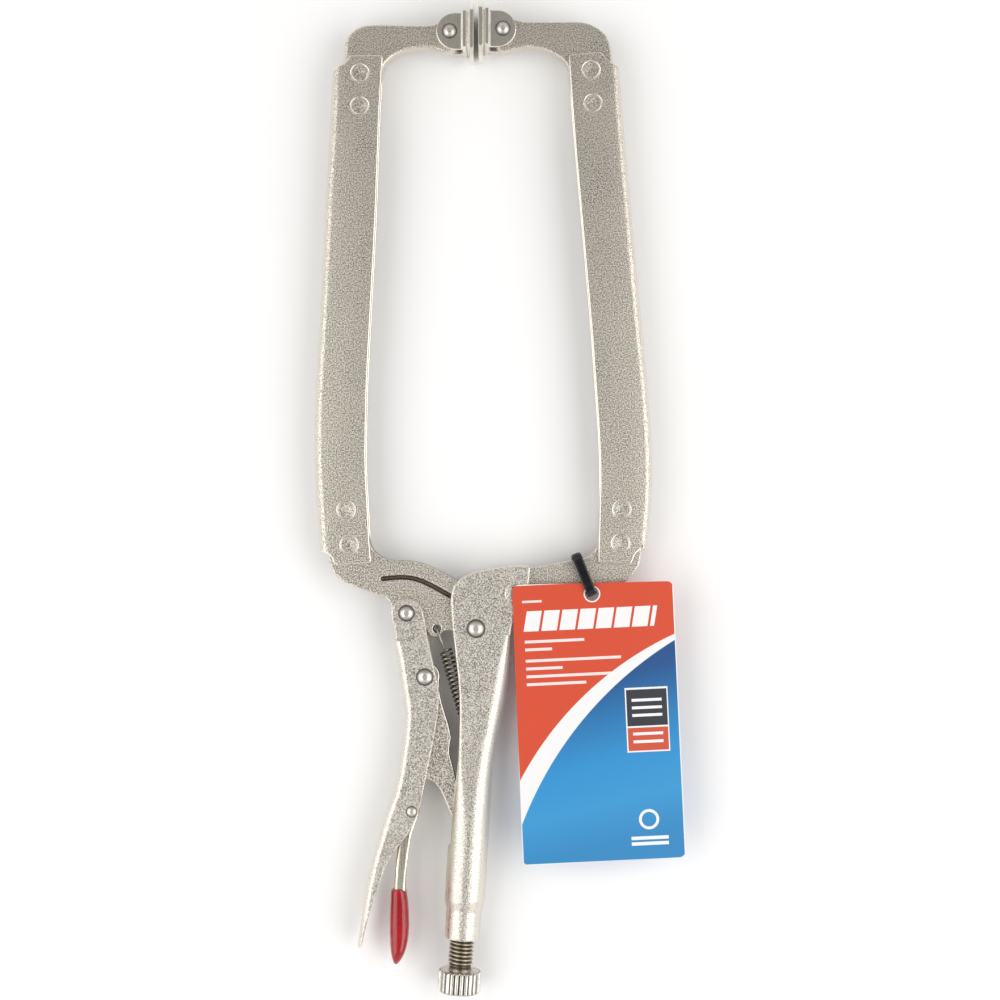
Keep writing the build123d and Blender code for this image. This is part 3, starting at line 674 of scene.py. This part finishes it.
def return_spring(turn_steps=18):
    """Close-wound coil spring from the jaw's hole to the tab inside the handle."""
    low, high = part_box("tension_spring")
    wire, coil, pitch = 0.5 * MM, 2.7 * MM, 2.02 * MM
    jaw_hole = Vector((low.x + wire, high.y - wire, MIDDLE))
    tab = Vector((high.x - wire, low.y + wire, MIDDLE))
    top = jaw_hole + Vector((3.8, -10.0, 0)) * MM
    bottom = tab + Vector((-1.4, 5.4, 0)) * MM
    run = (bottom - top).normalized()
    across = Vector((-run.y, run.x, 0))
    up = Vector((0, 0, 1))
    turns = round((bottom - top).length / pitch)
    coils = []
    for k in range(turns * turn_steps + 1):
        angle = 2 * pi * k / turn_steps
        coils.append(top + run * ((bottom - top).length * k / (turns * turn_steps))
                     + coil * (up * cos(angle) + across * sin(angle)))
    over, through = up * 4.9 * MM, up * -1.5 * MM
    start = smooth_path([jaw_hole + through, jaw_hole + up * 3.2 * MM,
                         jaw_hole + over + (top - jaw_hole) * 0.1, jaw_hole.lerp(top, 0.5) + over,
                         jaw_hole.lerp(top, 0.8) + up * 4.2 * MM, coils[0]], 6)
    end = smooth_path([coils[-1], bottom.lerp(tab, 0.5) + up * 2.4 * MM, tab + up * 1.9 * MM,
                       tab + up * 0.6 * MM, tab - up * 1.6 * MM], 6)
    made = bpy.data.objects.new("return_spring",
                                wire_mesh(start[:-1] + coils + end[1:], wire, "return_spring"))
    bpy.context.scene.collection.objects.link(made)
    made.data.materials.append(material["spring_steel"])
    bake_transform(made)
    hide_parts("tension_spring")


def rounded_loop(width, height, corner, step):
    """Points round a rectangle with round corners, middle at the origin, about `step` apart."""
    loop = []
    w, h = width / 2 - corner, height / 2 - corner
    for cx, cy, first in ((w, h, 0), (-w, h, 1), (-w, -h, 2), (w, -h, 3)):
        arc = max(4, int(corner * pi / 2 / step))
        for k in range(arc + 1):
            angle = (first + k / arc) * pi / 2
            loop.append((cx + corner * cos(angle), cy + corner * sin(angle)))
        side = (2 * w, 2 * h)[first % 2]
        nx, ny = cos((first + 1) * pi / 2), sin((first + 1) * pi / 2)
        x0, y0 = loop[-1]
        count = int(side / step)
        loop += [(x0 + (-ny) * side * k / count, y0 + nx * side * k / count) for k in range(1, count)]
    return loop


def cable_tie():
    """Ribbed nylon band, closed round the jaw and through the tag, its head underneath."""
    hole = Vector(JOINT["tag_swing"]["pos_m"])
    low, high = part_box("tag_tie")
    middle = (low + high) / 2
    out = Vector((middle.x - hole.x, middle.y - hole.y, 0)).normalized()
    side = Vector((out.y, -out.x, 0))
    near, far = reach("tag_tie", out, Vector((hole.x, hole.y, 0)))
    half = 2.25 * MM
    thick, rib = 1.15 * MM, 0.45 * MM
    floor_z, top_z = MIDDLE - 6.1 * MM, high.z - rib
    loop = rounded_loop(far - near - thick, top_z - floor_z - thick, 2.3 * MM, 0.30 * MM)
    cx, cz = (near + far) / 2, (top_z + floor_z) / 2
    work = bmesh.new()
    rings = []
    count = len(loop)
    for k, (x, z) in enumerate(loop):
        px, pz = loop[k - 1]
        nx, nz = loop[(k + 1) % count]
        tx, tz = nx - px, nz - pz
        size = hypot(tx, tz)
        normal = out * (tz / size) + Vector((0, 0, -tx / size))
        here = Vector((hole.x, hole.y, 0)) + out * (cx + x) + Vector((0, 0, cz + z))
        lift = rib if k % 4 < 2 else 0.0
        rings.append([work.verts.new(here + side * a + normal * b) for a, b in (
            (-half, -thick / 2), (half, -thick / 2), (half, thick / 2),
            (0.72 * half, thick / 2 + 0.3 * rib), (0.66 * half, thick / 2 - 0.4 * rib + lift),
            (-0.66 * half, thick / 2 - 0.4 * rib + lift), (-0.72 * half, thick / 2 + 0.3 * rib),
            (-half, thick / 2))])
    for a, b in zip(rings, rings[1:] + rings[:1]):
        for k in range(len(a)):
            m = (k + 1) % len(a)
            work.faces.new((a[k], a[m], b[m], b[k]))
    piece("cable_tie", to_mesh(work, "cable_tie", 30), "tag_tie", "black_nylon")

    box = bmesh.new()
    bmesh.ops.create_cube(box, size=1.0)
    bmesh.ops.scale(box, vec=(6.6 * MM, 7.4 * MM, 4.4 * MM), verts=box.verts)
    bmesh.ops.bevel(box, geom=box.edges[:], offset=0.7 * MM, segments=3, affect="EDGES", profile=0.5)
    turn = Matrix.Rotation(atan2(out.y, out.x), 4, "Z")
    place = Vector((hole.x, hole.y, 0)) + out * (near + far) / 2 + Vector((0, 0, MIDDLE - 6.9 * MM))
    box.transform(Matrix.Translation(place) @ turn)
    head = bpy.data.objects.new("cable_tie_head", to_mesh(box, "cable_tie_head"))
    bpy.context.scene.collection.objects.link(head)
    head.data.materials.append(material["black_nylon"])
    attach(head, BODY["tag_tie"])


def span(node, y):
    """Least and most x of a node where a plane across Y cuts it."""
    work = bmesh.new()
    work.from_mesh(frame["nodes"][node].data)
    cut = bmesh.ops.bisect_plane(work, geom=work.verts[:] + work.edges[:] + work.faces[:],
                                 plane_co=(0, y, 0), plane_no=(0, 1, 0))["geom_cut"]
    across = [v.co.x for v in cut if isinstance(v, bmesh.types.BMVert)]
    work.free()
    return (min(across), max(across)) if across else None


def dipped_sleeve(stations=26, steps=28):
    """Vinyl skin dipped over the release lever's end: rounded, and fuller at its tip."""
    low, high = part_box("release_lever_sleeve")
    thick = (high.z - low.z) / 2
    work = bmesh.new()
    rings = []
    for k in range(stations + 1):
        share = 0.5 - 0.5 * cos(pi * k / stations)
        y = high.y - 0.15 * MM - (high.y - low.y - 0.3 * MM) * share
        x0, x1 = span("release_lever_sleeve", y)
        away = min(1.0, (y - low.y) / (9 * MM))
        mouth = min(1.0, (high.y - y) / (1.2 * MM) + 0.78)
        wide = (x1 - x0) / 2 * min(1.0, mouth + 0.1)
        deep = thick * mouth * sqrt(max(0.02, 1 - (1 - away) ** 2.2))
        ring = []
        for n in range(steps):
            c, s_ = cos(2 * pi * n / steps), sin(2 * pi * n / steps)
            ring.append(work.verts.new(((x0 + x1) / 2 + wide * abs(c) ** 0.78 * (1 if c > 0 else -1), y,
                                        MIDDLE + deep * abs(s_) ** 0.78 * (1 if s_ > 0 else -1))))
        rings.append(ring)
    skin(work, rings)
    piece("dipped_sleeve", to_mesh(work, "dipped_sleeve", 60), "release_lever_sleeve", "red_vinyl")


arms_and_jaws()
handles()
rivets()
pads()
adjusting_screw()
screw_tip()
knurled_knob()
return_spring()
cable_tie()
dipped_sleeve()
eased("hang_tag", "printed_card", 0.12 * MM, name="hang_tag_card")


# ---------------------------------------------------------------- studio
def studio():
    """Pale floor, soft light from both sides and above, and a camera looking straight down."""
    half = 3.0
    sheet = bpy.data.meshes.new("floor")
    sheet.from_pydata([(-half, -half, 0), (half, -half, 0), (half, half, 0), (-half, half, 0)], [],
                      [(0, 1, 2, 3)])
    floor_piece = bpy.data.objects.new("floor", sheet)
    bpy.context.scene.collection.objects.link(floor_piece)
    paint = Finish("studio_floor")
    sheet.materials.append(paint.surface({"Base Color": (0.96, 0.96, 0.965), "Roughness": 0.9,
                                          "Specular IOR Level": 0.1}))

    room = Room("soft_room")
    bpy.context.scene.world = room.world
    _, _, rise = room.coordinates()
    room.feed(room.shader, {"Strength": 1.0, "Color": room.ramp(
        rise, (0.0, (0.95, 0.945, 0.935)), (0.35, (0.86, 0.855, 0.845)), (0.76, (0.52, 0.516, 0.51)),
        (0.93, (0.28, 0.278, 0.274)), (1.0, (0.25, 0.248, 0.245)))})

    for name, place, power in (("left_box", (-0.78, -0.22, 0.86), 6.8),
                               ("right_box", (0.80, -0.25, 0.84), 8.0)):
        lamp = bpy.data.lights.new(name, "AREA")
        lamp.shape = "RECTANGLE"
        lamp.size, lamp.size_y = 1.0, 1.45
        lamp.energy = power
        lamp.color = (1.0, 0.985, 0.96)
        holder = bpy.data.objects.new(name, lamp)
        holder.location = place
        holder.rotation_euler = (0, atan2(place[0], place[2]), 0)
        bpy.context.scene.collection.objects.link(holder)

    camera = bpy.data.cameras.new("camera")
    camera.angle = radians(30.35)
    eye = bpy.data.objects.new("camera", camera)
    eye.location = (0.000118, -0.001429, 0.861)
    bpy.context.scene.collection.objects.link(eye)
    bpy.context.scene.camera = eye
    bpy.context.scene.view_settings.view_transform = "Standard"


studio()
